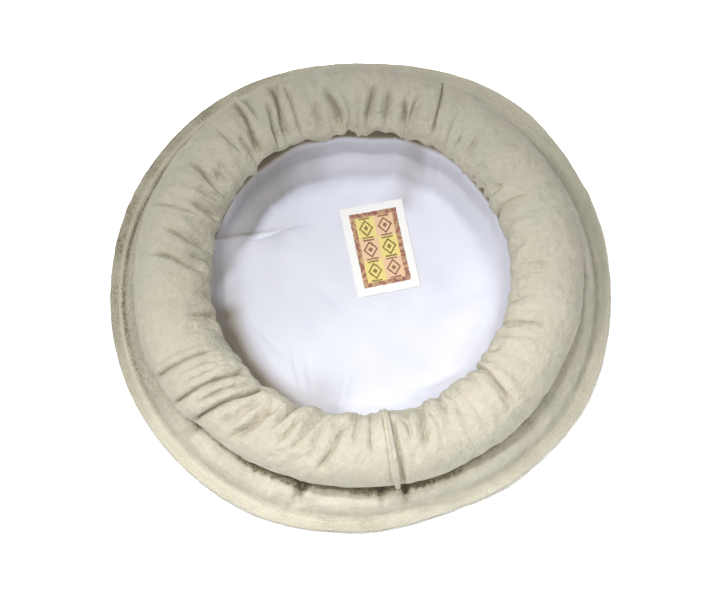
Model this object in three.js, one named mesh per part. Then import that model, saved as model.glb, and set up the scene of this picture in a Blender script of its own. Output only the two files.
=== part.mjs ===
// A pakol, the soft round wool cap with a rolled brim, lying on its flat crown
// with the head opening up. Millimetres, +Z up, origin on the floor under the
// middle of the crown, front of the cap towards -Y.
import * as THREE from 'three';

// Driving dimensions
const crownRadius = 124.1; // top panel, out to the seam
const rimRadius = 144; // stitched rim, outer edge
const openingRadius = 86; // inside of the rolled brim
const rollWidth = 40; // rolled brim, across
const rollHeight = 40; // rolled brim, up and down
const capHeight = 62; // floor to the top of the rolled brim
const wool = 2.6; // one thickness of felted wool cloth
const cotton = 0.9; // lining cloth
const seamGap = 0.35; // clear space between sewn pieces

const rollRingRadius = openingRadius + rollWidth / 2;
const rollCentre = capHeight - rollHeight / 2;

// The roll's upper half is fuller than a round: an exponent on its sine and cosine.
const rollFullness = 0.86;

// Facets round the cap and round the roll's section
const rollFacets = 104;
const rollLoopFacets = 16;
const capFacets = 56;

// Beyond these reaches the rim is drawn in or out, and lifted, by its waves.
const rimBendsFrom = 128;
const rimLiftsFrom = 135;

// Stitched rim, half section from the crown seam outwards and back
const rimSection = [
  { reach: 124.5, height: 1.3 },
  { reach: 132.0, height: 1.1 },
  { reach: 139.0, height: 1.6 },
  { reach: 142.8, height: 2.8 },
  { reach: rimRadius, height: 4.4 },
  { reach: 142.8, height: 5.7 },
  { reach: 138.5, height: 6.8 },
  { reach: 132.0, height: 7.3 },
  { reach: 126.6, height: 7.5 },
  { reach: 124.5, height: 6.9 },
];

// How far the rim's outer edge stands out or lifts from a plain ring
const rimWaves = [
  { bearing: 0, out: 0, lift: 1.6 },
  { bearing: 28, out: 2.0, lift: 0.6 },
  { bearing: 52, out: 4.4, lift: 2.2 },
  { bearing: 90, out: -0.6, lift: 0.5 },
  { bearing: 125, out: 1.4, lift: 2.0 },
  { bearing: 150, out: 1.0, lift: 1.0 },
  { bearing: 180, out: 0, lift: 0.2 },
  { bearing: 215, out: 0, lift: 1.8 },
  { bearing: 245, out: 0.2, lift: 0.4 },
  { bearing: 268, out: -2.6, lift: 0 },
  { bearing: 290, out: -5.6, lift: 0.4 },
  { bearing: 312, out: -2.0, lift: 1.7 },
  { bearing: 335, out: 0.8, lift: 0.6 },
];

// Top panel, underside from the middle to the seam, then back over its inside
const crownUnderside = [
  { reach: 0, height: 0 },
  { reach: 45, height: 0 },
  { reach: 85, height: 0 },
  { reach: 108, height: 0 },
  { reach: 115, height: 0.3 },
  { reach: 120, height: 1.0 },
  { reach: 122.8, height: 1.7 },
  { reach: crownRadius, height: 2.6 },
];
const crownInside = [
  { reach: crownRadius, height: 4.5 },
  { reach: 120, height: 4.0 },
  { reach: 112, height: 3.0 },
  { reach: 95, height: wool },
  { reach: 50, height: wool },
  { reach: 0, height: wool },
];

// Side wall, outer face from its foot on the rim, over a shoulder and down into a
// hollow, then in under the roll
const wallOuterFace = [
  { reach: 134.6, height: 7.8 },
  { reach: 134.5, height: 9.3 },
  { reach: 134.0, height: 12.8 },
  { reach: 132.4, height: 17.2 },
  { reach: 129.6, height: 21.0 },
  { reach: 126.0, height: 23.0 },
  { reach: 122.2, height: 22.2 },
  { reach: 118.0, height: 18.8 },
  { reach: 112.0, height: 17.8 },
  { reach: 106.0, height: 21.35 },
  { reach: 101.0, height: 21.85 },
  { reach: 97.0, height: 22.9 },
];

// Pleats that the side wall was taken in by, below the roll
const wallPleats = [
  { bearing: 62, width: 4.5, depth: 1.8 },
  { bearing: 118, width: 4.5, depth: 1.8 },
  { bearing: 161, width: 4.5, depth: 1.6 },
  { bearing: 222, width: 5, depth: 1.6 },
  { bearing: 254, width: 4, depth: 3.0 },
  { bearing: 281.5, width: 4, depth: 3.0 },
  { bearing: 320, width: 4.5, depth: 2.0 },
];

// Lining, upper face from the middle over its floor, up its wall to the roll
const liningFace = [
  { reach: 0, height: 4.0 },
  { reach: 40, height: 4.0 },
  { reach: 60, height: 4.1 },
  { reach: 73, height: 4.5 },
  { reach: 79.6, height: 6.2 },
  { reach: 83.6, height: 10.0 },
  { reach: 86.2, height: 15.0 },
  { reach: 88.2, height: 19.5 },
  { reach: 89.2, height: 23.0 },
  { reach: 90.1, height: 28.0 },
];

// The same where the lining is drawn high up inside the roll
const liningHighFace = [
  { reach: 0, height: 4.0 },
  { reach: 40, height: 4.0 },
  { reach: 60, height: 4.1 },
  { reach: 73, height: 4.6 },
  { reach: 79.0, height: 6.6 },
  { reach: 82.0, height: 11.0 },
  { reach: 82.8, height: 18.0 },
  { reach: 82.8, height: 27.0 },
  { reach: 82.8, height: 36.0 },
  { reach: 83.2, height: 45.0 },
];

// How far the foot of the lining's wall comes in from those faces, and how high the
// lining is drawn up, from 0 to 1, round the cap
const liningRound = [
  { bearing: 0, foot: 0, high: 0.4 },
  { bearing: 60, foot: 1, high: 1 },
  { bearing: 98, foot: 0, high: 1 },
  { bearing: 112, foot: 3, high: 0.97 },
  { bearing: 128, foot: 7, high: 0.97 },
  { bearing: 148, foot: 9, high: 0.9 },
  { bearing: 163, foot: 3, high: 0.5 },
  { bearing: 186, foot: 0, high: 0.2 },
  { bearing: 197, foot: 4, high: 0 },
  { bearing: 216, foot: 6, high: 0 },
  { bearing: 234, foot: 5, high: 0 },
  { bearing: 254, foot: 2, high: 0 },
  { bearing: 276, foot: 2, high: 0 },
  { bearing: 315, foot: 3, high: 0.2 },
];

// Soft heaps of the loose lining: x, y of the middle, reach and lift
const liningHeaps = [
  { x: -58, y: 4, reach: 28, lift: 4.6 },
  { x: 10, y: -60, reach: 26, lift: 3.6 },
  { x: 62, y: 58, reach: 22, lift: 2.0 },
  { x: 66, y: -26, reach: 26, lift: 3.0 },
  { x: -52, y: -44, reach: 22, lift: 2.0 },
];

// Label patch, its middle, size and turn
const label = { x: 11.5, y: 30, width: 37, length: 55, thickness: 0.6, turn: 11.5 };

// How far the soft roll swells outwards and inwards, and its crest rises, from a plain
// ring, and how full its inner upper quarter is: above 1 it slopes straight away
const rollWaves = [
  { bearing: 0, out: 1.6, crest: 0, within: 0, inner: 0.88 },
  { bearing: 45, out: 0.4, crest: -1.3, within: 0, inner: 0.88 },
  { bearing: 68, out: 0, crest: -0.8, within: 0.4, inner: 0.88 },
  { bearing: 90, out: -0.4, crest: -0.4, within: 2.4, inner: 0.9 },
  { bearing: 100, out: 0, crest: -0.7, within: 1.8, inner: 0.95 },
  { bearing: 112, out: 0.5, crest: -1.1, within: 0.7, inner: 1.0 },
  { bearing: 138, out: 1.4, crest: -1.7, within: 0.4, inner: 1.08 },
  { bearing: 172, out: 2.6, crest: -0.7, within: 0.8, inner: 1.06 },
  { bearing: 187, out: 3.6, crest: -0.6, within: 1.2, inner: 1.04 },
  { bearing: 205, out: 5.4, crest: -1.2, within: 0.2, inner: 1.14 },
  { bearing: 223, out: 4.2, crest: -1.9, within: 0.4, inner: 0.95 },
  { bearing: 231, out: 1.0, crest: -1.5, within: 1.2, inner: 0.88 },
  { bearing: 272, out: -0.4, crest: 0, within: 2.4, inner: 0.84 },
  { bearing: 318, out: 0.8, crest: -1.5, within: 1.0, inner: 0.88 },
];

// Gathers and tucks of the roll. A fold crosses the crest at its bearing and
// turns by lean before the opening; depth below zero stands proud. It runs
// from the section angle outer to inner: 0 faces out, 90 up, 180 the opening.
// It dies away over a few degrees of section at both ends.
const foldFadesOver = 30;
const rollFolds = [
  { bearing: 24, lean: 2, width: 3.4, depth: 1.4, outer: 70, inner: 215 },
  { bearing: 62.5, lean: -1.5, width: 3.0, depth: 2.0, outer: 15, inner: 215 },
  { bearing: 79, lean: 0, width: 3.0, depth: 1.8, outer: 95, inner: 215 },
  { bearing: 87, lean: 1, width: 3.0, depth: 1.8, outer: 100, inner: 215 },
  { bearing: 98, lean: -2, width: 3.4, depth: 1.8, outer: 70, inner: 215 },
  { bearing: 117, lean: 1, width: 3.2, depth: 3.4, outer: 5, inner: 215 },
  { bearing: 126.5, lean: 2, width: 3.2, depth: 2.4, outer: 45, inner: 215 },
  { bearing: 147.5, lean: 2, width: 3.4, depth: 2.2, outer: 60, inner: 215 },
  { bearing: 161, lean: -1.5, width: 2.8, depth: 1.0, outer: 0, inner: 215 },
  { bearing: 177, lean: 3, width: 3.4, depth: 2.0, outer: 60, inner: 215 },
  { bearing: 196.5, lean: 2, width: 3.4, depth: 2.0, outer: 85, inner: 215 },
  { bearing: 209.5, lean: 2, width: 3.2, depth: 2.6, outer: 15, inner: 215 },
  { bearing: 218, lean: 5, width: 3.2, depth: 3.0, outer: 20, inner: 215 },
  { bearing: 226, lean: 6, width: 3.4, depth: 3.8, outer: 0, inner: 215 },
  { bearing: 237, lean: 3, width: 3.4, depth: 2.2, outer: 50, inner: 215 },
  { bearing: 248, lean: 0, width: 3.4, depth: 2.0, outer: 80, inner: 215 },
  { bearing: 264, lean: -3, width: 3.4, depth: 1.6, outer: 70, inner: 215 },
  { bearing: 280.5, lean: 0, width: 3.6, depth: -1.8, outer: -25, inner: 200 },
  { bearing: 284.5, lean: 0, width: 3.0, depth: 2.0, outer: -15, inner: 210 },
  { bearing: 292, lean: -1, width: 3.4, depth: 1.6, outer: 85, inner: 215 },
  { bearing: 318, lean: 2, width: 3.4, depth: 2.2, outer: 40, inner: 215 },
  { bearing: 341, lean: -2, width: 3.4, depth: 1.8, outer: 65, inner: 215 },
];

const smooth = THREE.MathUtils.smoothstep;
const radians = THREE.MathUtils.degToRad;

// Degrees from b to a, the short way round.
function turnBetween(a, b) {
  return THREE.MathUtils.euclideanModulo(a - b + 180, 360) - 180;
}

// A column of a table of bearings, eased from row to row round the cap.
function roundTheCap(rows, column, bearing) {
  const angle = THREE.MathUtils.euclideanModulo(bearing, 360);
  const next = rows.findIndex((row) => row.bearing > angle);
  const after = next < 0 ? rows[0] : rows[next];
  const before = next < 0 ? rows[rows.length - 1] : rows[next - 1];
  const span = THREE.MathUtils.euclideanModulo(after.bearing - before.bearing, 360);
  const share = smooth((angle - before.bearing) / span, 0, 1);
  return THREE.MathUtils.lerp(before[column], after[column], share);
}

// A path of { reach, height } points moved sideways, to the left of its travel.
function offsetPath(path, distance) {
  return path.map((point, i) => {
    const before = path[Math.max(i - 1, 0)];
    const after = path[Math.min(i + 1, path.length - 1)];
    const along = new THREE.Vector2(after.reach - before.reach, after.height - before.height);
    along.normalize();
    return {
      reach: point.reach - along.y * distance,
      height: point.height + along.x * distance,
    };
  });
}

// A closed solid from one half section at each bearing. The section runs
// anticlockwise; where it starts and ends on the axis it closes in two poles.
// Each face is split along its shorter diagonal, so that skins that lie on one
// another fold alike and keep their gap.
function turnedSolid(facets, sectionAt) {
  const sections = [];
  for (let k = 0; k < facets; k += 1) sections.push(sectionAt((360 * k) / facets));
  const rows = sections[0].length;
  const hasPoles = sections[0][0].reach === 0;
  const position = [];
  const vertexOf = (k, j) => {
    if (hasPoles && j === 0) return 0;
    if (hasPoles && j === rows - 1) return 1;
    return hasPoles ? 2 + (k % facets) * (rows - 2) + (j - 1) : (k % facets) * rows + (j % rows);
  };
  if (hasPoles) {
    position.push(0, 0, sections[0][0].height);
    position.push(0, 0, sections[0][rows - 1].height);
  }
  sections.forEach((section, k) => {
    const angle = radians((360 * k) / facets);
    section.forEach(({ reach, height }, j) => {
      if (hasPoles && (j === 0 || j === rows - 1)) return;
      position.push(reach * Math.cos(angle), reach * Math.sin(angle), height);
    });
  });
  const corner = (v) => new THREE.Vector3().fromArray(position, 3 * v);
  const index = [];
  for (let k = 0; k < facets; k += 1) {
    for (let j = 0; j < (hasPoles ? rows - 1 : rows); j += 1) {
      const a = vertexOf(k, j);
      const b = vertexOf(k + 1, j);
      const c = vertexOf(k + 1, j + 1);
      const d = vertexOf(k, j + 1);
      if (a === b) index.push(a, c, d);
      else if (c === d) index.push(a, b, c);
      else if (corner(a).distanceTo(corner(c)) <= corner(b).distanceTo(corner(d))) {
        index.push(a, b, c, a, c, d);
      } else index.push(a, b, d, b, c, d);
    }
  }
  const geometry = new THREE.BufferGeometry();
  geometry.setAttribute('position', new THREE.Float32BufferAttribute(position, 3));
  geometry.setIndex(index);
  geometry.computeVertexNormals();
  return geometry;
}

// Lift of the loose lining over the crown at x, y: a few soft heaps.
function liningLift(x, y) {
  return liningHeaps.reduce((sum, heap) => {
    const distance = Math.hypot(x - heap.x, y - heap.y) / heap.reach;
    return sum + heap.lift * Math.exp(-distance * distance);
  }, 0);
}

// How far a fold of the roll moves the surface out, at a bearing and a section angle.
function foldOffset(fold, bearing, section) {
  const middle = fold.bearing + fold.lean * Math.max((section - 90) / 90, 0);
  const sideways = radians(turnBetween(bearing, middle)) * rollRingRadius;
  const starts = smooth(section, fold.outer, fold.outer + foldFadesOver);
  const ends = 1 - smooth(section, fold.inner - foldFadesOver, fold.inner);
  return -fold.depth * starts * ends * Math.exp(-((sideways / fold.width) ** 2));
}

// The roll's section: round below, where it lies on the side wall, fuller above.
function rollSection(bearing) {
  const outerHalf = rollWidth / 2 + roundTheCap(rollWaves, 'out', bearing);
  const innerHalf = rollWidth / 2 + roundTheCap(rollWaves, 'within', bearing);
  const upperHalf = rollHeight / 2 + roundTheCap(rollWaves, 'crest', bearing);
  const points = [];
  for (let j = 0; j < rollLoopFacets; j += 1) {
    const section = -90 + (360 * j) / rollLoopFacets;
    const offset = rollFolds.reduce((sum, fold) => sum + foldOffset(fold, bearing, section), 0);
    const cosine = Math.cos(radians(section));
    const sine = Math.sin(radians(section));
    const halfWidth = cosine > 0 ? outerHalf : innerHalf;
    const halfHeight = sine > 0 ? upperHalf : rollHeight / 2;
    const upper = cosine > 0 ? rollFullness : roundTheCap(rollWaves, 'inner', bearing);
    const fullness = sine > 0 ? upper : 1;
    points.push({
      reach: rollRingRadius + (halfWidth + offset) * Math.sign(cosine) * Math.abs(cosine) ** fullness,
      height: rollCentre + (halfHeight + offset) * Math.sign(sine) * Math.abs(sine) ** fullness,
    });
  }
  return points;
}

function crownSection() {
  return [...crownUnderside, ...crownInside];
}

function stitchedRimSection(bearing) {
  const out = roundTheCap(rimWaves, 'out', bearing);
  const lift = roundTheCap(rimWaves, 'lift', bearing);
  return rimSection.map(({ reach, height }) => {
    return {
      reach: reach + out * smooth(reach, rimBendsFrom, rimRadius),
      height: height + lift * smooth(reach, rimLiftsFrom, rimRadius),
    };
  });
}

// Depth of the pleats of the side wall, at a bearing and a share of the way up it:
// nothing at its foot, deepest over its shoulder, nothing under the roll.
function pleatDepth(bearing, share) {
  const run = smooth(share, 0.04, 0.36) * (1 - smooth(share, 0.5, 0.7));
  return wallPleats.reduce((sum, pleat) => {
    const sideways = radians(turnBetween(bearing, pleat.bearing)) * crownRadius;
    return sum + pleat.depth * run * Math.exp(-((sideways / pleat.width) ** 2));
  }, 0);
}

// The side wall is one thickness of wool, cut level where it stands on the rim. Its foot
// is drawn in where the rim is.
function sideWallSection(bearing) {
  const rows = wallOuterFace.length - 1;
  const drawnIn = 0.75 * Math.min(roundTheCap(rimWaves, 'out', bearing), 0);
  const outer = wallOuterFace.map((point, i) => {
    const { reach, height } = offsetPath(wallOuterFace, pleatDepth(bearing, i / rows))[i];
    return { reach: reach + drawnIn * (1 - smooth(i / rows, 0.1, 0.4)), height };
  });
  const inner = offsetPath(outer, wool);
  inner[0] = { reach: outer[0].reach - wool, height: outer[0].height };
  return [...outer, ...inner.reverse()];
}

// Reach of the roll's inner side at a height: that of its widest part above that part.
function rollInside(bearing, height) {
  const across = rollWidth / 2 + roundTheCap(rollWaves, 'within', bearing);
  const down = THREE.MathUtils.clamp((rollCentre - height) / (rollHeight / 2), 0, 1);
  return rollRingRadius - across * Math.sqrt(1 - down * down);
}

// The lining is a bag: its floor takes the heaps, and its wall stands inside the roll,
// clear of it.
function liningSection(bearing) {
  const angle = radians(bearing);
  const foot = roundTheCap(liningRound, 'foot', bearing);
  const high = roundTheCap(liningRound, 'high', bearing);
  const inside = liningFace.map((low, i) => {
    const reach = THREE.MathUtils.lerp(low.reach, liningHighFace[i].reach, high);
    const height = THREE.MathUtils.lerp(low.height, liningHighFace[i].height, high);
    const lift = liningLift(reach * Math.cos(angle), reach * Math.sin(angle));
    const comesIn = foot * smooth(reach, 50, 80) * (1 - smooth(height, 12, 27));
    const clear = rollInside(bearing, height) - cotton - 2 * seamGap;
    return {
      reach: Math.min(reach - comesIn, clear),
      height: height + lift * (1 - smooth(reach, 70, 84)),
    };
  });
  const outside = offsetPath(inside, -cotton);
  outside[0] = { reach: 0, height: inside[0].height - cotton };
  return [...outside, ...inside.reverse()];
}

// The label is a thin slab laid on the lining, so it takes the lining's lift.
function labelGeometry() {
  const slab = new THREE.BoxGeometry(label.width, label.length, label.thickness, 5, 7, 1);
  slab.rotateZ(radians(label.turn));
  slab.translate(label.x, label.y, 0);
  const bottom = liningFace[0].height + 2 * seamGap + label.thickness / 2;
  const position = slab.getAttribute('position');
  for (let i = 0; i < position.count; i += 1) {
    position.setZ(i, position.getZ(i) + bottom + liningLift(position.getX(i), position.getY(i)));
  }
  return slab;
}

function clothPiece(name, geometry, material) {
  const mesh = new THREE.Mesh(geometry, material);
  mesh.name = name;
  return mesh;
}

const creamWool = () => new THREE.MeshStandardMaterial({ color: 0xd7d1bb, roughness: 0.95, metalness: 0 });
const stitchedWool = () => new THREE.MeshStandardMaterial({ color: 0xd0caae, roughness: 0.95, metalness: 0 });
const whiteCotton = () => new THREE.MeshStandardMaterial({ color: 0xe8e8ef, roughness: 0.9, metalness: 0 });
const labelCloth = () => new THREE.MeshStandardMaterial({ color: 0xf3ecdc, roughness: 0.8, metalness: 0 });

const pakol = new THREE.Group();
pakol.add(clothPiece('crown_top', turnedSolid(capFacets, crownSection), creamWool()));
pakol.add(clothPiece('stitched_rim', turnedSolid(capFacets, stitchedRimSection), stitchedWool()));
pakol.add(clothPiece('side_wall', turnedSolid(capFacets, sideWallSection), creamWool()));
pakol.add(clothPiece('rolled_brim', turnedSolid(rollFacets, rollSection), creamWool()));
pakol.add(clothPiece('lining', turnedSolid(capFacets, liningSection), whiteCotton()));
pakol.add(clothPiece('label', labelGeometry(), labelCloth()));

export default pakol;
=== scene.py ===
"""A pakol, the soft round-topped wool cap with a rolled brim, lying on its crown, opening up.

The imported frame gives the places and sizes. Shapes are worked out in millimetres in the frame's
axes and go into the meshes in metres. A bearing is an angle round the cap in degrees: 0 towards
+X, 90 the back, 270 the front. A section angle goes round the roll's section: 0 faces out,
90 up and 180 faces the opening. Every cloth skin is a grid of points, round the cap by across
the cloth, and each skin is a closed surface with its faces pointing out.
"""
import math

import bpy
import numpy as np
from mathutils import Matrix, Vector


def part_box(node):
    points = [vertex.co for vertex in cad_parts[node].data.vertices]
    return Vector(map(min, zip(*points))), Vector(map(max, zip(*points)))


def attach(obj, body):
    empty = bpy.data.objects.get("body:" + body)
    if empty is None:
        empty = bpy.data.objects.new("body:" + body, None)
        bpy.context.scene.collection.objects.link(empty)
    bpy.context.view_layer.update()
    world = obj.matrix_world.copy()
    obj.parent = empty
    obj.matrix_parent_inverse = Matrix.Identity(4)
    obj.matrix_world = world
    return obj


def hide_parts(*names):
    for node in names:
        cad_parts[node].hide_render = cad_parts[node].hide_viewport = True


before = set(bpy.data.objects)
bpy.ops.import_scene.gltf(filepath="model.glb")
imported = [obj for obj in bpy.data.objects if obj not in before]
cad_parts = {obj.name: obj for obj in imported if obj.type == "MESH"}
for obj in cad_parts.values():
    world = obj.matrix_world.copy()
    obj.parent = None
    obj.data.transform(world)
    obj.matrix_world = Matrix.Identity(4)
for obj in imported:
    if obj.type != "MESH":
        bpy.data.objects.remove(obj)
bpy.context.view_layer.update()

METRE = 0.001  # one millimetre, in metres


def table(columns, *rows):
    """Rows of numbers, each number under the name of its column."""
    return [dict(zip(columns.split(), row)) for row in rows]


def node_box(node):
    """Lowest and highest corner of a node of the frame, in millimetres."""
    return np.array([list(corner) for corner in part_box(node)]) / METRE


# ------------------------------------------------------------------ sizes, in millimetres

ROLL_WIDTH = 40.0
RIM_REACH = np.ptp(node_box("stitched_rim")[:, 0]) / 2
CROWN_REACH = np.ptp(node_box("crown_top")[:, 0]) / 2
ROLL_RING = RIM_REACH - 38.0  # middle of the roll's section, from the cap's middle
ROLL_CENTRE = node_box("rolled_brim")[0, 2] + ROLL_WIDTH / 2
ROLL_FULLNESS = 0.86  # below 1 the upper half is fuller than a round
WOOL = 2.6
COTTON = 0.9
LINING_FLOOR = 4.0  # height of the lining's floor over the table
LINING_SINKS = 0.1  # the most that the floor dips below it

# Points of each skin's grid: round the cap, and across its whole section or its seen face
ROLL_GRID = (1120, 88)
RIM_GRID = (1180, 74)
WALL_GRID = (760, 60)
CROWN_GRID = (560, 92)
LINING_GRID = (560, 110)

# How far the roll swells outwards and inwards, and its crest rises, from a plain ring, and how
# full its inner upper quarter is: above 1 it slopes away straight from the crest
ROLL_WAVES = table(
    "bearing out crest within inner",
    (0, 1.6, 0, 0, 0.88), (45, 0.4, -1.3, 0, 0.88), (68, 0, -0.8, 0.4, 0.88),
    (90, -0.4, -0.4, 3.2, 0.9), (100, 0, -0.7, 2.5, 0.95), (112, 0.5, -1.1, 0.7, 1),
    (138, 1.4, -1.7, 0.4, 1.08), (172, 2.6, -0.7, 0.8, 1.06), (187, 3.6, -0.6, 1.2, 1.04),
    (205, 5.4, -1.2, 1, 1.14), (223, 4.2, -1.9, 0.4, 0.95), (231, 1, -1.5, 1.2, 0.88),
    (272, -0.4, 0, 2.4, 0.84), (318, 0.8, -1.5, 1, 0.88),
)

# Tucks and folds that cross the roll. Each crosses the crest at its bearing, runs askew by slant
# degrees a quarter of the section, and bends by lean where it goes over the crest. Width is the
# cleft's, in a valley several times wider. The cloth beyond stands up in a lip, as a share of
# the depth, and laps over the cleft: beyond is the higher bearing, or the lower where lip is
# below zero. Shade is painted shade: how much darker the wool is painted in the cleft. It runs
# between two section angles.
ROLL_FOLDS = table(
    "bearing slant lean width depth lip laps shade outer inner",
    (24, 0, 2, 1, 2.8, 0.1, 0.2, 0, 80, 215),
    (65, -3.6, 0, 0.9, 3.6, 0.3, 0.6, 0.3, 5, 150),
    (72.2, 0, 0, 1.8, 3, 0.1, 0, 0.3, 74, 148),
    (75.8, -1, -1.5, 1.6, 4.4, -0.2, 0.3, 0.55, 84, 154),
    (80.6, 0, 0, 2, 3.4, 0, 0, 0.36, 76, 150),
    (85.8, 1, 1.4, 2, 4.4, 0.1, 0.1, 0.42, 72, 150),
    (100, 0, -4, 1.8, 4.8, -0.3, 0.2, 0.5, 72, 157),
    (104.4, 0, 0, 2.4, 3.2, 0, 0, 0.3, 92, 160),
    (111.6, 0, 0.5, 1.2, 2.7, 0.1, 0.1, 0.24, 45, 156),
    (115, 2.6, 0, 0.8, 2.3, 0, 0, 0.2, -8, 68),
    (116.1, 0.6, 2, 1.5, 6, 0.35, 0.5, 0.4, -5, 158),
    (119.2, 1.4, 2.2, 1.7, 5.3, 0.25, 0.4, 0.4, 66, 158),
    (123.2, 0.2, 0, 1.3, 3.4, 0.35, 0, 0.35, 0, 100),
    (126.6, 0.9, 1.8, 1.5, 5.5, -0.4, 0.4, 0.5, 5, 158),
    (131.3, 0, 0.5, 1.6, 3.4, 0.1, 0, 0.3, 82, 158),
    (134.3, 0, 0, 1.2, 2.1, 0, 0, 0.1, 45, 127),
    (145.2, 0, 0, 1.8, 3.8, 0, 0, 0.3, 95, 150),
    (147.9, 1.2, 2.2, 1.5, 5.5, 0.4, 0.3, 0.45, 60, 145),
    (153, 0, 0, 1.3, 2.8, 0.1, 0, 0.15, 85, 145),
    (158, 0, 0.4, 1.5, 4, 0.2, 0, 0.3, 90, 180),
    (161.5, -0.4, -0.3, 0.9, 2.2, 0.3, 0.1, 0.15, 25, 130),
    (169.2, 0.6, 2.4, 1.7, 5.2, 0.4, 0.3, 0.4, 66, 180),
    (174.5, 0.5, 1.5, 1.9, 3.4, 0.2, 0.3, 0.4, 104, 190),
    (177.6, 0.4, 3.6, 1.7, 4.6, 0.3, 0.4, 0.4, 52, 160),
    (188.5, 1, 0, 1.8, 2, 0.1, 0, 0.3, 128, 190),
    (196.1, 0.4, 1, 1.7, 3.8, 0.2, 0.4, 0.5, 96, 190),
    (200.6, 0.5, 0.5, 2.8, 2.4, 0.1, 0, 0.25, 80, 165),
    (206.6, 0, 0, 2.8, 1, 0, 0, 0.3, 124, 215),
    (207.2, 1.6, 0.4, 1.8, 1.4, 0.3, 0, 0, 30, 120),
    (210.2, 2, 0.6, 1.5, 3.4, -0.5, 0.3, 0.3, -10, 128),
    (213.6, 2.6, 1, 1, 1.9, 0.3, 0.2, 0.15, 50, 130),
    (216.4, 3, 1, 0.9, 1.7, -0.3, 0.2, 0.15, 45, 118),
    (219.6, 3, 1.6, 1.5, 4, -0.5, 0.4, 0.35, -10, 165),
    (223.6, 4, 2, 1.1, 2.6, -0.4, 0.2, 0.2, 40, 150),
    (227.6, 4.2, 2.8, 1.6, 5, -0.5, 0.6, 0.5, -15, 165),
    (233.4, 5, 0, 2.2, 2.2, 0.2, 0, 0.1, 30, 130),
    (238.6, 6, 0, 2.8, 6, 0.45, 0.3, 0.25, 22, 134),
    (243.6, 4.5, 0, 2.2, 5.6, 0.35, 0.2, 0.35, 84, 190),
    (247.8, 5, 0, 1.8, 4, 0.3, 0.1, 0.25, 58, 126),
    (252.6, 6, 0, 2.6, 3.6, 0.3, 0.1, 0.1, 56, 180),
    (257.4, 3, 0, 1.8, 1.6, 0.2, 0, 0.05, 40, 150),
    (262.8, 5.6, 0, 2.4, 4.8, 0.5, 0.2, 0.2, 26, 140),
    (268.4, 1.5, 0, 2.4, 2.6, 0.2, 0, 0.1, 72, 180),
    (273.6, 0.5, 0, 1.8, 2.4, -0.2, 0, 0.1, 66, 175),
    (278.2, 0, 0, 0.9, 1.5, -0.1, 0, 0.1, 0, 160),
    (281.5, 0, 0, 1.1, 3.4, 0.15, 0, 0.4, -20, 138),
    (285.6, 2.6, 0, 2, 3, 0.3, 0, 0.1, 76, 180),
    (290.2, 4, 0, 2.3, 4.8, 0.4, 0.2, 0.2, 60, 185),
    (299, 2, 0, 1.6, 3, 0.1, 0, 0.2, 90, 190),
    (318, 0, 2, 0.9, 4, 0.3, 0.5, 0.2, 45, 215),
    (341, 0, -2, 0.9, 3.4, 0.1, 0.2, 0, 70, 215),
)

# Where the wool is crumpled over the crest
ROLL_CRUMPLES = table(
    "bearing reach",
    (72, 7), (120, 9), (150, 8), (217, 10), (247, 7), (288, 8),
)

# Where the roll's inner half is drawn into even puckers, each with its valley at bearing "at"
# and every pitch degrees from it
ROLL_PUCKERS = table(
    "first last at pitch height",
    (68, 107, 71, 4.85, 0.55), (140, 172, 147.6, 5.3, 0.5),
)

# The narrow pleat that stands proud across the whole front of the roll
ROLL_PLEAT = dict(bearing=279.8, width=1.25, height=2.3, outer=-34, inner=180)

# Stitched rim, half section from the crown seam outwards and back over the top
RIM_SECTION = np.array([
    (124.5, 1.3), (128, 1.1), (132, 1.1), (136, 1.3), (139, 1.7), (141.6, 2.4), (143.4, 3.4),
    (RIM_REACH, 4.5), (143.4, 5.5), (141.6, 6.1), (138.5, 6.8), (135, 7.2), (132, 7.3), (129, 7.4),
    (126.6, 7.5), (125.2, 7.4), (124.5, 6.8),
])

# How far the rim's outer edge stands out or lifts from a plain ring
RIM_WAVES = table(
    "bearing out lift",
    (0, 0, 1.6), (28, 2, 0.6), (52, 4.4, 2.2), (90, -0.6, 0.5), (125, 1.4, 2), (150, 1, 1),
    (180, -0.6, 0.2), (215, 0, 1.8), (245, 0.2, 0.4), (268, -2.6, 0), (290, -5.6, 0.4),
    (312, -2, 1.7), (335, 0.8, 0.6),
)
RIM_BENDS_FROM = 128.0  # the rim is drawn in or out beyond this reach
RIM_LIFTS_FROM = 135.0

# Side wall, outer face from the rim to under the roll and up behind it
WALL_FACE = np.array([
    (138.4, 6.5), (136.6, 7.3), (135, 9.2), (134, 12.8), (132.4, 17.2), (129.6, 21), (126, 23),
    (122.2, 22.2), (118, 18.8), (112, 17.6), (106, 20.3), (101, 21.6), (97, 22.8),
])
WALL_SEAM = 135.8

# Pleats that the side wall was taken in by, below the roll
WALL_PLEATS = table(
    "bearing width depth",
    (62, 3, 2.4), (118, 3, 2.4), (161, 3, 2), (222, 3, 2.6), (254.4, 2.2, 7.5), (275.5, 1.4, 3),
    (281.8, 1.8, 7), (320, 3, 2.6),
)

# The painted shadow under the roll is darkest between these bearings
WALL_DARK = [(236, 256), (268, 278), (283, 298)]  # bearings where it is dark under the roll

# Lining, from its middle over the floor to the foot of its wall and up to the roll
LINING_FACE = np.array([
    (0, 4), (20, 4), (40, 4), (60, 4.1), (73, 4.5), (79.6, 6.2), (83.6, 10), (86.2, 15),
    (88.2, 19.5), (89.6, 23.5), (90.8, 26.6), (92.6, 28.8),
])

# The same where the lining is drawn high up inside the roll
LINING_HIGH = np.array([
    (0, 4), (20, 4), (40, 4), (60, 4.1), (73, 4.6), (79.4, 6.8), (82.4, 13), (82.8, 23),
    (82.6, 34), (82.8, 41.5), (84.2, 46), (88.4, 49.2), (93.4, 50.8),
])
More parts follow.
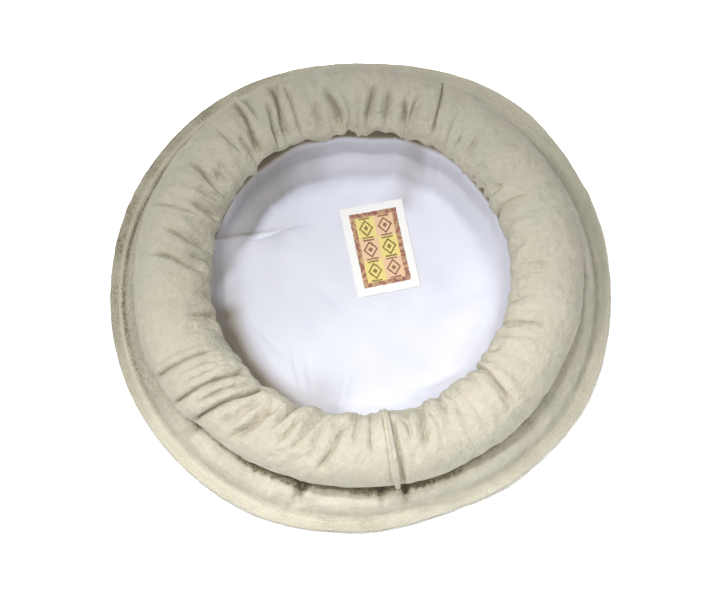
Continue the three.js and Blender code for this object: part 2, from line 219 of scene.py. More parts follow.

# How far the foot of the lining's wall comes in, how high the lining is drawn up, from 0 to 1,
# and how much painted shade its wall and the floor below it get, round the cap
LINING_ROUND = table(
    "bearing foot high grey low",
    (0, 0, 0.4, 0.1, 0), (60, 5, 1, 0, 0), (98, 9, 1, 0, 0), (112, 8, 0.97, 0.35, 0),
    (128, 7, 0.97, 0.6, 0), (148, 9, 0.9, 0.6, 0), (163, 3, 0.5, 0.6, 0), (180, 0, 0.2, 0.6, 0.35),
    (190, 4, 0, 1.2, 1.2), (200, 6, 0, 1.3, 1.3), (212, 6, 0, 1.2, 1.15), (229, 5, 0, 0.9, 0.8),
    (254, 2, 0, 0.4, 0.4), (276, 2, 0, 0.15, 0), (315, 3, 0.2, 0.25, 0.2),
)

# Soft heaps of the loose lining
LINING_HEAPS = table(
    "x y reach lift",
    (-58, 4, 28, 4.6), (10, -60, 26, 3.6), (62, 58, 22, 2), (66, -26, 26, 3), (-52, -44, 22, 2),
)

# A soft spot of painted shade on the lining's floor
LINING_SPOT = dict(x=-24, y=-62, reach=14, shade=0.3)

# The lining's long tuck, whose near side lies over the far side
LINING_TUCK = dict(x0=-90, y0=34, x1=-16, y1=46, lift=4.0, sharp=0.5, soft=8.0)

# Creases of the lining, each a shallow valley from one end to the other, with painted shade in it
LINING_CREASES = table(
    "x0 y0 x1 y1 width depth shade",
    (24, 94, 37, 72, 3, 2.2, 0.3), (31, 86, 25, 56, 7, 2, 0.26), (28, 58, 10, 54, 5, 0.8, 0.14),
    (-38, -34, -35, -58, 2, 1.1, 0), (-30, -38, -29, -60, 2, 0.7, 0),
    (-62, -18, -44, -34, 4, 1.2, 0), (-20, 4, 16, -12, 4, 1.4, 0), (44, -6, 74, 8, 6, 1, 0),
    (36, -56, 60, -48, 3, 1.6, 0), (-6, -44, -12, -70, 3, 1.4, 0), (-24, 60, -6, 84, 5, 1.2, 0),
)

LABEL_MIDDLE = node_box("label")[:, :2].mean(0)
LABEL_SIZE = (37.0, 55.0)
LABEL_TURN = 11.5
LABEL_THICK = 0.6
LABEL_MARGIN = 4.8  # white, round the print
LABEL_FRAME = 2.8  # the print's frame


# ------------------------------------------------------------------ shapes

def ease(value, start, end):
    """0 before start, 1 after end, and a smooth S between them."""
    share = np.clip((value - start) / (end - start), 0, 1)
    return share * share * (3 - 2 * share)


def between(value, rises, full, fades, gone):
    """0 before rises, 1 from full to fades and 0 after gone, with a smooth S either side."""
    return ease(value, rises, full) * (1 - ease(value, fades, gone))


def bell(away, width, power=2):
    """1 at no distance, falling off as a bell; a lower power gives it a sharper top."""
    return np.exp(-((away / width) ** power))


def turn_between(a, b):
    """Degrees from b to a, the short way round."""
    return (a - b + 180) % 360 - 180


def arc_between(a, b, reach):
    """Millimetres from bearing b to bearing a, at that reach."""
    return np.radians(turn_between(a, b)) * reach


def round_bearings(count):
    """Even bearings round the cap, as a column."""
    return np.linspace(0, 360, count, endpoint=False)[:, None]


def round_the_cap(rows, column, bearing):
    """A column of a table of bearings, eased from row to row round the cap."""
    places = np.array([row["bearing"] for row in rows] + [rows[0]["bearing"] + 360], float)
    values = np.array([row[column] for row in rows] + [rows[0][column]], float)
    angle = (bearing - places[0]) % 360 + places[0]
    after = np.clip(np.searchsorted(places, angle, side="right"), 1, len(rows))
    share = ease(angle, places[after - 1], places[after])
    return values[after - 1] + (values[after] - values[after - 1]) * share


def waves(seed, count, round_turns, across_turns, bearing, across):
    """Soft unevenness: the mean of seeded cosines of the bearing and of an angle across the
    cloth, each with a whole number of turns both ways, scaled to a spread of about 1."""
    draw = np.random.default_rng(seed)
    total = np.zeros(np.broadcast(bearing, across).shape)
    for _ in range(count):
        turns = draw.integers(*round_turns)
        cross = draw.integers(*across_turns) * draw.choice([-1, 1])
        phase = draw.uniform(0, 2 * np.pi)
        total += np.cos(np.radians(turns * bearing + cross * across) + phase)
    return total * math.sqrt(2 / count)


def ripples(seed, count, shortest, longest, x, y):
    """Soft unevenness of a flat cloth: as waves, but of x and y, running every way, with
    wavelengths from shortest to longest."""
    draw = np.random.default_rng(seed)
    total = np.zeros(np.broadcast(x, y).shape)
    for _ in range(count):
        way = draw.uniform(0, np.pi)
        number = 2 * np.pi / draw.uniform(shortest, longest)
        phase = draw.uniform(0, 2 * np.pi)
        total += np.cos(number * (x * np.cos(way) + y * np.sin(way)) + phase)
    return total * math.sqrt(2 / count)


def run_along(path):
    """Length along a path from its start to each of its points."""
    return np.concatenate([[0], np.cumsum(np.hypot(*np.diff(path, axis=0).T))])


def smooth_path(points, count, closed=False):
    """A smooth curve through a few points, as count points evenly far apart: each span is a
    cubic whose slope at a point is that from its neighbour before to its neighbour after."""
    if closed:
        points = np.vstack([points[-1:], points, points[:2]])
    else:
        points = np.vstack([2 * points[0] - points[1], points, 2 * points[-1] - points[-2]])
    share = np.linspace(0, 1, 24, endpoint=False)[:, None]
    spans = [
        0.5 * (2 * b + (c - a) * share + (2 * a - 5 * b + 4 * c - d) * share**2
               + (3 * b - a - 3 * c + d) * share**3)
        for a, b, c, d in zip(points[:-3], points[1:-2], points[2:-1], points[3:])
    ]
    path = np.vstack(spans + [points[-2]])
    run = run_along(path)
    station = np.linspace(0, run[-1], count, endpoint=not closed)
    return np.stack([np.interp(station, run, path[:, k]) for k in (0, 1)], 1)


def sideways(path, distance):
    """A path of (reach, height) points moved to the left of its travel by distance."""
    along = np.gradient(path, axis=-2)
    along /= np.linalg.norm(along, axis=-1, keepdims=True)
    left = np.stack([-along[..., 1], along[..., 0]], -1)
    return path + left * np.asarray(distance)[..., None]


def x_and_y(bearing, reach):
    """Where a bearing in degrees and a reach come to."""
    angle = np.radians(bearing)
    return reach * np.cos(angle), reach * np.sin(angle)


def turned(bearing, reach, height):
    """Points from bearings in degrees, reaches and heights."""
    return np.stack(np.broadcast_arrays(*x_and_y(bearing, reach), height), -1)


def cloth_uv(points, poles):
    """Lengths round and across a skin, in metres, one more of each than its points: round by
    share of the skin's middle length, across by the mean run over its own cells."""
    rounds, cells = points.shape[:2]
    steps = np.linalg.norm(np.diff(points, axis=1, append=points[:, :1]), axis=2).mean(0)
    across = np.concatenate([[0], np.cumsum(steps)])
    radius = np.linalg.norm(points[..., :2], axis=2).mean()
    around = np.linspace(0, 2 * np.pi * radius, rounds + 1)
    across = across[: cells if poles else cells + 1]
    return np.stack(np.meshgrid(around, across, indexing="ij"), -1) * METRE


def cloth_skin(name, points, poles=False, painted_shade=None):
    """A closed mesh on a grid of points. It joins its own start both ways or, where poles is
    true, closes in a single point at either end of its columns. Painted shade is 0 where no
    shade is painted."""
    rounds, columns = points.shape[:2]
    uv = cloth_uv(points, poles)
    ids = np.arange(rounds * columns).reshape(rounds, columns)
    if poles:
        ids[:, 0], ids[:, -1] = ids[0, 0], ids[0, -1]
    i, j = np.indices((rounds, columns - 1 if poles else columns))
    corners = [(i, j), (i + 1, j), (i + 1, j + 1), (i, j + 1)]
    vertex = np.stack([ids[a % rounds, b % columns] for a, b in corners], -1).reshape(-1, 4)
    place = np.stack([uv[a, b] for a, b in corners], -2).reshape(-1, 4, 2)
    keep = np.ones(vertex.shape, bool)
    if poles:
        keep[j.ravel() == 0, 1] = False
        keep[j.ravel() == columns - 2, 2] = False
    used, loops = np.unique(vertex[keep], return_inverse=True)
    starts = np.concatenate([[0], np.cumsum(keep.sum(1))[:-1]])
    piece = mesh_piece(name, points.reshape(-1, 3)[used], loops, starts, place[keep])
    if painted_shade is not None:
        given_painted_shade(piece, np.broadcast_to(painted_shade, (rounds, columns)).ravel()[used])
    return piece


def given_painted_shade(piece, painted_shade):
    """Gives a piece its painted shade, a number at each vertex."""
    spread = piece.data.attributes.new("painted_shade", "FLOAT", "POINT")
    spread.data.foreach_set("value", painted_shade.astype(np.float32))
    return piece


def mesh_piece(name, vertices, loops, starts, uv=None):
    """An object from vertices in millimetres, its faces' corners and where each face starts."""
    mesh = bpy.data.meshes.new(name)
    mesh.vertices.add(len(vertices))
    mesh.vertices.foreach_set("co", (vertices * METRE).astype(np.float32).ravel())
    mesh.loops.add(len(loops))
    mesh.loops.foreach_set("vertex_index", loops.astype(np.int32).ravel())
    mesh.polygons.add(len(starts))
    mesh.polygons.foreach_set("loop_start", starts.astype(np.int32))
    mesh.polygons.foreach_set("use_smooth", np.ones(len(starts), bool))
    if uv is not None:
        mesh.uv_layers.new(name="cloth").data.foreach_set("uv", uv.astype(np.float32).ravel())
    mesh.update(calc_edges=True)
    mesh.validate()
    piece = bpy.data.objects.new(name, mesh)
    bpy.context.scene.collection.objects.link(piece)
    return piece


# ------------------------------------------------------------------ the rolled brim

def roll_gathers():
    """Small gathers of the roll's inner edge, drawn with a fixed seed: a fold every few
    degrees, of uneven width, depth and length, none on top of a fold of the table. They are
    slight where the table has its folds."""
    draw = np.random.default_rng(11)
    folds = []
    bearing = 2.0
    while bearing < 359:
        clear = min(abs(turn_between(bearing, fold["bearing"])) for fold in ROLL_FOLDS)
        if clear > 2.2:
            full = 0.4 if 62 < bearing < 300 else 1.0
            folds.append(dict(
                bearing=bearing, width=draw.uniform(0.7, 1.6), depth=full * draw.uniform(0.6, 3.4),
                lip=draw.uniform(-0.3, 0.3), laps=0, shade=0,
                outer=draw.uniform(75, 140), inner=draw.uniform(150, 180),
            ))
        bearing += draw.uniform(3.2, 9.0)
    return folds


ROLL_GATHERS = roll_gathers()
FOLD_REACH = 12  # degrees to either side that a fold is felt
SWELLING_FRAMES = 20


def fold_across(distance, fold):
    """A fold's cut: a round-bottomed cleft, a valley that closes slowly on the near side and
    soon beyond, a low shoulder, and the lip beyond."""
    way = distance * math.copysign(1, fold["lip"])
    side = np.abs(way)
    cleft = 0.5 * bell(side, fold["width"], 1.5)
    valley = 0.5 * np.exp(-side / (fold["width"] * np.where(way < 0, 4.5, 1.8)))
    shoulder = 0.14 * bell(side - 7, 3)
    lip = abs(fold["lip"]) * np.exp(-side / 4) * (1 - np.exp(-side / 0.9))
    return shoulder + np.where(way > 0, lip, 0) - cleft - valley


def roll_grid():
    """Bearings bunched where the roll is folded, and section angles spread evenly."""
    even = np.linspace(0, 360, 14400, endpoint=False)
    density = np.ones(even.shape)
    for fold in ROLL_FOLDS + [ROLL_PLEAT]:
        away = turn_between(even, fold["bearing"])
        density += 5 * bell(away, 0.6) + bell(away, 1.6)
    for fold in ROLL_GATHERS:
        density += 3 * bell(turn_between(even, fold["bearing"]), 0.5)
    run = np.concatenate([[0], np.cumsum(density)])
    share = np.linspace(0, run[-1], ROLL_GRID[0], endpoint=False)
    bearing = np.interp(share, run, np.linspace(0, 360, len(run)))[:, None]
    return bearing, np.linspace(-90, 270, ROLL_GRID[1], endpoint=False)[None, :]


def roll_relief(bearing, section):
    """How far folds, gathers and soft unevenness move the roll's surface out, how far the
    lips of the folds lap sideways, in millimetres, and how dark the wool is painted: painted
    shade in the folds and in the puckers' valleys, and on the left inside the opening and along
    the outer foot. The roll's underside stays plain."""
    out, lap, shade = np.zeros((3, *np.broadcast(bearing, section).shape))
    widens = 0.8 + 0.5 * ease(section, 90, 150)
    for fold in ROLL_FOLDS + ROLL_GATHERS:
        near = np.abs(turn_between(bearing[:, 0], fold["bearing"])) < FOLD_REACH
        distance = arc_between(bearing[near], fold["bearing"], ROLL_RING) / widens
        outer, inner = fold["outer"], fold["inner"]
        run = between(section, outer, outer + 26, inner - 28, inner)
        out[near] += fold["depth"] * run * fold_across(distance, fold)
        beyond = np.clip(distance * math.copysign(1, fold["lip"]), 0, None)
        over = (1 - np.exp(-beyond / 0.6)) * np.exp(-beyond / 3)
        lap[near] -= math.copysign(fold["laps"], fold["lip"]) * run * over
        # painted shade along the fold's cleft
        dark = fold["shade"] * run * bell(distance, fold["width"])
        shade[near] = np.maximum(shade[near], dark)
    drawn_in = puckered(bearing, section)
    # painted shade in the valleys of the puckers
    shade = np.maximum(shade, 0.4 * drawn_in)
    out += pleat_relief(bearing, section) - drawn_in
    inner_side = ease(section, 20, 130)
    out += (0.25 + 0.3 * inner_side) * waves(3, 26, (5, 26), (0, 4), bearing, section)
    out += (0.12 + 0.2 * inner_side) * waves(5, 30, (30, 90), (0, 5), bearing, section)
    out += 0.05 * waves(7, 30, (90, 260), (1, 9), bearing, section)
    out += 0.34 * crumpled(bearing, section) * waves(9, 36, (30, 150), (6, 26), bearing, section)
    lies_free = between(section, -78, -45, 222, 240)
    return out * lies_free, lap * lies_free, np.maximum(shade, painted_roll_shade(bearing, section))


def painted_roll_shade(bearing, section):
    """Painted shade on the roll: on the left inside the opening, and a little along the roll's
    outer foot there and at the front."""
    left = between(bearing, 134, 150, 204, 220)
    higher = ease(bearing, 156, 176)
    inside = 0.17 * left * ease(section, 110 - 48 * higher, 150 - 45 * higher)
    foot = 0.1 * left + 0.12 * between(bearing, 254, 262, 284, 292)
    return np.maximum(inside, foot * (1 - ease(section, 6, 40)))


def pleat_relief(bearing, section):
    """The narrow pleat: a flat ridge with soft edges."""
    pleat = ROLL_PLEAT
    distance = arc_between(bearing, pleat["bearing"], ROLL_RING)
    rise = 1 - ease(np.abs(distance), 0.7 * pleat["width"], 1.3 * pleat["width"])
    starts = ease(section, pleat["outer"], pleat["outer"] + 16)
    return pleat["height"] * rise * starts * (1 - 0.7 * ease(section, 110, pleat["inner"]))


def puckered(bearing, section):
    """Even puckers of the roll's inner half: a cosine of the bearing that fades at the ends."""
    total = np.zeros(np.broadcast(bearing, section).shape)
    for place in ROLL_PUCKERS:
        first, last = place["first"], place["last"]
        turn = 2 * np.pi * (bearing - place["at"]) / place["pitch"]
        runs = between(bearing, first - 3, first + 3, last - 3, last + 3)
        total += place["height"] * runs * np.cos(turn)
    return total * between(section, 82, 112, 140, 166)


def crumpled(bearing, section):
    """How much the wool is crumpled: most over the crest, at the bearings of the table."""
    total = sum(bell(turn_between(bearing, row["bearing"]), row["reach"]) for row in ROLL_CRUMPLES)
    return total * bell(section - 92, 38)


def roll_points(bearing, section, out, lap):
    """The roll's skin: an upper half fuller than a round, by an exponent on its sine and
    cosine, on a round lower half, swollen by the table of waves and by out. The grid turns
    with the folds' slant and lean, so each fold lies along one of its lines."""
    swell, within, crest = (
        ROLL_WIDTH / 2 + round_the_cap(ROLL_WAVES, column, bearing)
        for column in ("out", "within", "crest")
    )
    inner = round_the_cap(ROLL_WAVES, "inner", bearing)
    cosine, sine = np.cos(np.radians(section)), np.sin(np.radians(section))
    half_width = np.where(cosine > 0, swell, within)
    half_height = np.where(sine > 0, crest, ROLL_WIDTH / 2)
    fullness = np.where(sine > 0, np.where(cosine > 0, ROLL_FULLNESS, inner), 1)
    reach = ROLL_RING + (half_width + out) * np.sign(cosine) * np.abs(cosine) ** fullness
    height = ROLL_CENTRE + (half_height + out) * np.sign(sine) * np.abs(sine) ** fullness
    slant = round_the_cap(ROLL_FOLDS, "slant", bearing) * (np.clip(section, -30, 180) - 90) / 90
    lean = round_the_cap(ROLL_FOLDS, "lean", bearing) * (ease(section, 65, 130) - 0.33)
    turn = (lean + slant) * between(section, -80, -30, 215, 260) + np.degrees(lap / ROLL_RING)
    return turned(bearing + turn, reach, height)


def swollen(points, held, spare, pressure, most):
    """How a closed skin of points moves when it is cut spare millimetres wider than the ring
    it lies on and blown up from inside. Held points stay, and no point moves further than
    most."""
    piece = cloth_skin("swelling", points)
    piece.vertex_groups.new(name="held").add(np.flatnonzero(held).tolist(), 1.0, "REPLACE")
    piece.shape_key_add(name="lies")
    wide = piece.shape_key_add(name="cut")
    away = points[..., :2] / np.linalg.norm(points[..., :2], axis=-1, keepdims=True)
    cut = points.copy()
    cut[..., :2] += spare * away
    wide.data.foreach_set("co", (cut * METRE).astype(np.float32).ravel())
    cloth = piece.modifiers.new("cloth", "CLOTH")
    settings = cloth.settings
    settings.quality, settings.mass = 6, 0.15
    settings.tension_stiffness = settings.compression_stiffness = 25.0
    settings.shear_stiffness, settings.bending_stiffness = 8.0, 0.6
    settings.vertex_group_mass, settings.pin_stiffness = "held", 1.0
    settings.rest_shape_key = wide
    settings.use_pressure, settings.uniform_pressure_force = True, pressure
    settings.effector_weights.gravity = 0.0
    cloth.collision_settings.use_collision = False
    cloth.point_cache.frame_end = SWELLING_FRAMES
    scene = bpy.context.scene
    for step in range(1, SWELLING_FRAMES + 1):
        scene.frame_set(step)
    found = piece.evaluated_get(bpy.context.evaluated_depsgraph_get()).to_mesh()
    place = np.empty(points.size, np.float32)
    found.vertices.foreach_get("co", place)
    scene.frame_set(1)
    bpy.data.objects.remove(piece)
    moved = place.reshape(points.shape) / METRE - points
    far = np.linalg.norm(moved, axis=-1, keepdims=True)
    return moved * most / np.maximum(far, most)


def between_lines(field):
    """A field given on every second line of a closed grid, both ways, filled in halfway."""
    for axis in (0, 1):
        halfway = (field + np.roll(field, -1, axis)) / 2
        shape = list(field.shape)
        shape[axis] *= 2
        field = np.stack([field, halfway], axis + 1).reshape(shape)
    return field


def roll_held(bearing, section):
    """Which points of the roll are sewn or folded fast: its underside and every cleft."""
    held = np.broadcast_to((section < -62) | (section > 232), (len(bearing), section.size)).copy()
    for fold in ROLL_FOLDS + ROLL_GATHERS:
        nearest = np.argmin(np.abs(turn_between(bearing[:, 0], fold["bearing"])))
        held[nearest] |= (section[0] > fold["outer"] + 16) & (section[0] < fold["inner"] - 16)
    return held


def rolled_brim():
    bearing, section = roll_grid()
    out, lap, shade = roll_relief(bearing, section)
    points = roll_points(bearing, section, out, lap)
    held = roll_held(bearing[::2], section[:, ::2])
    moved = swollen(points[::2, ::2], held, spare=6, pressure=4, most=3)
    return cloth_skin("rolled_brim_wool", points + between_lines(moved), painted_shade=shade)


# ------------------------------------------------------------------ the stitched rim

STITCH_ROWS = 7
STITCH_SPACING = 2.05
STITCH_PITCH = 2.9
FIRST_ROW = 1.2  # from the outer edge to the first row of stitches
STITCH_SINK = 0.12  # how far the middle of a stitch lies in the cloth
THREAD_RADIUS = 0.27
THREAD_BOW = 0.2

RIM_PATH = smooth_path(RIM_SECTION, 400, closed=True)
RIM_PATH = np.vstack([RIM_PATH, RIM_PATH[:1]])
RIM_RUN = run_along(RIM_PATH)
RIM_EDGE = RIM_RUN[np.argmax(RIM_PATH[:, 0]) + 1]  # the run at which it rounds its outer edge


def rim_place(bearing, run):
    """Reach, height and outward direction of the plain rim's section, where run is the length
    along its path from the crown seam, out round the edge and back over the top."""
    along = np.gradient(RIM_PATH, axis=0)
    along /= np.linalg.norm(along, axis=1, keepdims=True)
    reach, height, along_reach, along_height = (
        np.interp(run % RIM_RUN[-1], RIM_RUN, column) for column in (*RIM_PATH.T, *along.T)
    )
    out = round_the_cap(RIM_WAVES, "out", bearing) * ease(reach, RIM_BENDS_FROM, RIM_REACH)
    lift = round_the_cap(RIM_WAVES, "lift", bearing) * ease(reach, RIM_LIFTS_FROM, RIM_REACH)
    return reach + out, height + lift, along_height, -along_reach


def rim_relief(bearing, run):
    """The rim's cloth is drawn down along each row of stitches and at each stitch's ends, and
    puffs up between them: cosines of the distance from the edge and of the bearing."""
    from_edge = np.abs(run - RIM_EDGE) - FIRST_ROW
    row = from_edge / STITCH_SPACING
    sewn = ease(from_edge, -1.6, -0.4) * (1 - ease(row, STITCH_ROWS - 0.8, STITCH_ROWS - 0.2))
    around = np.radians(bearing) * RIM_REACH / STITCH_PITCH + np.round(row) * 0.5
    valley = 0.5 + 0.5 * np.cos(2 * np.pi * row)
    pinch = 0.5 + 0.5 * np.cos(2 * np.pi * around)
    relief = -sewn * (0.26 * valley + 0.16 * pinch * valley)
    relief = relief + 0.10 * waves(21, 24, (20, 90), (0, 3), bearing, run * 6)
    return relief + 0.07 * waves(23, 30, (180, 420), (1, 14), bearing, run * 10)


def seam_and_edge_shade(bearing, reach):
    """How dark the wool is painted: painted shade in the seam at the foot of the side wall and
    in a band along the rim's outer edge, most of all on the left, and a little darker all over
    at the front."""
    left = 0.1 + 0.9 * between(bearing, 90, 140, 188, 218)
    left = left + 0.14 * bell(turn_between(bearing, 268), 14)
    uneven = 0.8 + 0.2 * waves(91, 16, (5, 40), (0, 1), bearing, reach)
    in_seam = bell(reach - WALL_SEAM, 1.1)
    at_edge = 0.48 * ease(reach, RIM_REACH - 5.8, RIM_REACH - 4)
    front = 0.18 * bell(turn_between(bearing, 271), 8)
    return np.clip(left * uneven * (0.12 + in_seam + at_edge) + front, 0, 1)


def stitched_rim():
    bearing = round_bearings(RIM_GRID[0])
    run = np.linspace(0, RIM_RUN[-1], RIM_GRID[1], endpoint=False)[None, :]
    reach, height, out_reach, out_height = rim_place(bearing, run)
    relief = rim_relief(bearing, run)
    return cloth_skin(
        "stitched_rim_wool",
        turned(bearing, reach + out_reach * relief, height + out_height * relief),
        painted_shade=seam_and_edge_shade(bearing, rim_place(0 * bearing, run)[0]),
    )


def stitches(name, middle, along, up, length):
    """Short threads, one at each middle: a five-sided tube along the direction along, that
    thins to a point at both ends and bows up between them, as a parabola."""
    share = np.array([-0.92, -0.6, 0, 0.6, 0.92])
    thick = np.array([0.45, 0.9, 1, 0.9, 0.45]) * THREAD_RADIUS
    rings, sides = len(share), 5
    along /= np.linalg.norm(along, axis=-1, keepdims=True)
    across = np.cross(up, along)
    across /= np.linalg.norm(across, axis=-1, keepdims=True)
    up = np.cross(along, across)
    half = along * length[:, None] / 2
    angle = np.linspace(0, 2 * np.pi, sides, endpoint=False)[:, None]
    ring = across[:, None, None] * np.cos(angle) + up[:, None, None] * np.sin(angle)
    spine = middle[:, None] + half[:, None] * share[:, None]
    spine = spine + up[:, None] * (THREAD_BOW * (1 - share**2))[:, None]
    tube = (spine[:, :, None] + ring * thick[:, None, None]).reshape(len(middle), -1, 3)
    points = np.concatenate([tube, np.stack([middle - half, middle + half], 1)], 1)
    faces = []
    for s in range(sides):
        t = (s + 1) % sides
        faces.append((rings * sides, t, s))
        for low in range(0, (rings - 1) * sides, sides):
            high = low + sides
            faces += [(low + s, low + t, high + t), (low + s, high + t, high + s)]
        last = (rings - 1) * sides
        faces.append((rings * sides + 1, last + s, last + t))
    loops = np.array(faces)[None] + np.arange(len(middle))[:, None, None] * points.shape[1]
    starts = np.arange(len(middle) * len(faces)) * 3
    return mesh_piece(name, points.reshape(-1, 3), loops.ravel(), starts)


def rim_stitches(name, over, seed):
    """Rows of stitches round the rim's top (over = 1) or underside (over = -1). Each lies in
    its row's valley, a little askew and of uneven length."""
    draw = np.random.default_rng(seed)
    count = int(2 * np.pi * RIM_REACH / STITCH_PITCH)
    middles, alongs, ups = [], [], []
    for row in range(STITCH_ROWS):
        slots = np.arange(count) - row * 0.5 + 0.5 + draw.normal(0, 0.07, count)
        bearing = np.degrees(slots * STITCH_PITCH / RIM_REACH)
        run = RIM_EDGE + over * (FIRST_ROW + row * STITCH_SPACING) + draw.normal(0, 0.13, count)
        reach, height, out_reach, out_height = rim_place(bearing, run)
        up = turned(bearing, out_reach, out_height)
        tangent = turned(bearing + 90, 1, 0)
        askew = draw.normal(0, 0.16, count)[:, None]
        middles.append(
            turned(bearing, reach - out_reach * STITCH_SINK, height - out_height * STITCH_SINK)
        )
        alongs.append(tangent + np.cross(up, tangent) * askew)
        ups.append(up)
    middle, along, up = (np.concatenate(part) for part in (middles, alongs, ups))
    long = draw.uniform(0.78, 0.95, len(middle)) * STITCH_PITCH
    piece = stitches(name, middle, along, up, long)
    bearing = np.degrees(np.arctan2(middle[:, 1], middle[:, 0])) % 360
    reach = np.hypot(middle[:, 0], middle[:, 1]) - round_the_cap(RIM_WAVES, "out", bearing)
    each = len(piece.data.vertices) // len(middle)
    return given_painted_shade(piece, np.repeat(seam_and_edge_shade(bearing, reach), each))


# ------------------------------------------------------------------ the side wall

def wall_pleats(bearing, share):
    """Depth of the wall's pleats at a bearing and a share of the way up it: nothing where it is
    sewn down, deepest halfway to the roll's underside."""
    total = np.zeros(np.broadcast(bearing, share).shape)
    for pleat in WALL_PLEATS:
        distance = np.abs(arc_between(bearing, pleat["bearing"], CROWN_REACH))
        total += pleat["depth"] * bell(distance, pleat["width"], 1.3)
    return total * between(share, 0.1, 0.42, 0.55, 0.72)


def wall_face(bearing):
    """The wall's outer face at each bearing, drawn in with the rim, taken in by its pleats
    and softly uneven."""
    share = np.linspace(0, 1, WALL_GRID[1])[None, :]
    free = between(share, 0.06, 0.24, 0.5, 0.7)
    taken_in = wall_pleats(bearing, share)
    taken_in -= 0.5 * free * waves(31, 24, (8, 44), (0, 3), bearing, share * 180)
    taken_in -= 0.25 * free * waves(33, 24, (30, 90), (0, 4), bearing, share * 180)
    path = sideways(smooth_path(WALL_FACE, WALL_GRID[1]), taken_in)
    drawn_in = 0.75 * np.minimum(round_the_cap(RIM_WAVES, "out", bearing), 0)
    path[..., 0] += drawn_in * (1 - ease(share, 0.1, 0.4))
    return path


def wall_shade(bearing, share, reach):
    """Painted shade on the wall: in its seam, in its pleats and under the roll, there most at
    the bearings of WALL_DARK, and a little all over at the left."""
    dark = sum(between(bearing, a - 2, a + 2, b - 2, b + 2) for a, b in WALL_DARK)
    starts = 0.445 - 0.035 * dark - 0.012 * waves(35, 24, (60, 200), (0, 1), bearing, 0)
    # painted shadow under the roll
    under_roll = (0.42 + 0.4 * dark) * ease(share, starts - 0.01, starts + 0.04)
    seam = seam_and_edge_shade(bearing, reach) * (1 - ease(share, 0.08, 0.16))
    faint = 0.12 * bell(turn_between(bearing, 236), 9) + 0.36 * between(bearing, 112, 142, 204, 224)
    faint = faint * ease(share, 0.04, 0.1)
    return np.clip(seam + under_roll + faint + wall_pleats(bearing, share) / 9, 0, 1)


def side_wall():
    bearing = round_bearings(WALL_GRID[0])
    outer = wall_face(bearing)
    inner = sideways(outer[:, ::4], WOOL)
    inner[:, 0] = outer[:, 0] - [WOOL, 0]
    reach, height = np.moveaxis(np.concatenate([outer, inner[:, ::-1]], 1), -1, 0)
    up, down = np.linspace(0, 1, WALL_GRID[1]), np.linspace(1, 0, inner.shape[1])
    painted_shade = wall_shade(bearing, np.concatenate([up, down])[None, :], reach)
    return cloth_skin("side_wall_wool", turned(bearing, reach, height), painted_shade=painted_shade)


# ------------------------------------------------------------------ the crown

CROWN_STRIP = CROWN_REACH - 7  # where the puckered strip inside the crown seam starts


def crown_height(bearing, reach):
    """Height of the crown's underside: flat on the floor, soft dents over its middle, puckers
    over the strip inside the seam, and a roll up into the seam."""
    curl = 3.4 * ease(reach, CROWN_REACH - 15, CROWN_REACH) ** 1.7
    dents = 0.35 * np.maximum(ripples(41, 24, 30, 90, *x_and_y(bearing, reach)), 0)
    in_strip = ease(reach, CROWN_STRIP - 1.5, CROWN_STRIP + 1)
    puckers = 0.22 * in_strip * (1 + waves(43, 30, (120, 260), (0, 2), bearing, reach * 9))
    groove = 0.7 * bell(reach - CROWN_STRIP, 0.8)
    return np.maximum(curl + dents * (1 - ease(reach, 96, 116)) + puckers + groove, 0)


def crown_top():
    """The crown's panel: its underside from the middle to the seam, then back over its inside,
    one thickness of wool above."""
    bearing = round_bearings(CROWN_GRID[0])
    under = CROWN_REACH * np.linspace(0, 1, CROWN_GRID[1]) ** 0.72
    inside = (CROWN_REACH - 0.6) * np.linspace(1, 0, 16) ** 0.9
    reach = np.concatenate([under, inside])[None, :]
    height = crown_height(bearing, reach)
    height[:, len(under):] += WOOL - 0.9
    return cloth_skin("crown_panel_wool", turned(bearing, reach, height), poles=True)


# ------------------------------------------------------------------ the lining

def segment_distance(x, y, line):
    """Distance of x, y from a line, positive on its left, and the share of the way along it."""
    dx, dy = line["x1"] - line["x0"], line["y1"] - line["y0"]
    length = math.hypot(dx, dy)
    share = ((x - line["x0"]) * dx + (y - line["y0"]) * dy) / length**2
    across = ((y - line["y0"]) * dx - (x - line["x0"]) * dy) / length
    return across, share


def creases(column, x, y, ends):
    """The depth or the shade of the lining's creases, each fading beyond its two ends."""
    total = np.zeros(np.broadcast(x, y).shape)
    for crease in LINING_CREASES:
        across, share = segment_distance(x, y, crease)
        total += crease[column] * between(share, *ends) * bell(across, crease["width"])
    return total


def lining_lift(x, y):
    """Lift of the loose lining over the crown: soft heaps, a long tuck whose near side stands
    over its far side, creases, and a little unevenness."""
    lift = 0.5 * ripples(51, 30, 22, 60, x, y) - creases("depth", x, y, (-0.25, 0.2, 0.8, 1.25))
    for heap in LINING_HEAPS:
        lift += heap["lift"] * bell(np.hypot(x - heap["x"], y - heap["y"]), heap["reach"])
    tuck = LINING_TUCK
    across, share = segment_distance(x, y, tuck)
    width = tuck["sharp"] + (tuck["soft"] - tuck["sharp"]) * ease(share, 0.5, 1.1)
    stands = ease(-across, -width, width) * bell(np.clip(-across, 0, None), 16)
    return lift + tuck["lift"] * stands * between(share, -0.3, 0, 0.4, 1.1)


def lining_gathers(bearing, reach):
    """Gathers of the lining's wall, drawn with a fixed seed: creases that run down from the
    roll's edge, each to its own depth and length, over a slow waviness."""
    draw = np.random.default_rng(57)
    total = 0.5 * waves(53, 24, (4, 20), (0, 2), bearing, reach)
    for middle in np.cumsum(draw.uniform(6, 20, 28)):
        width, depth, low = draw.uniform(1.6, 4.4), draw.uniform(0.2, 0.9), draw.uniform(62, 80)
        total -= depth * ease(reach, low, 86) * bell(arc_between(bearing, middle, reach), width)
    return total


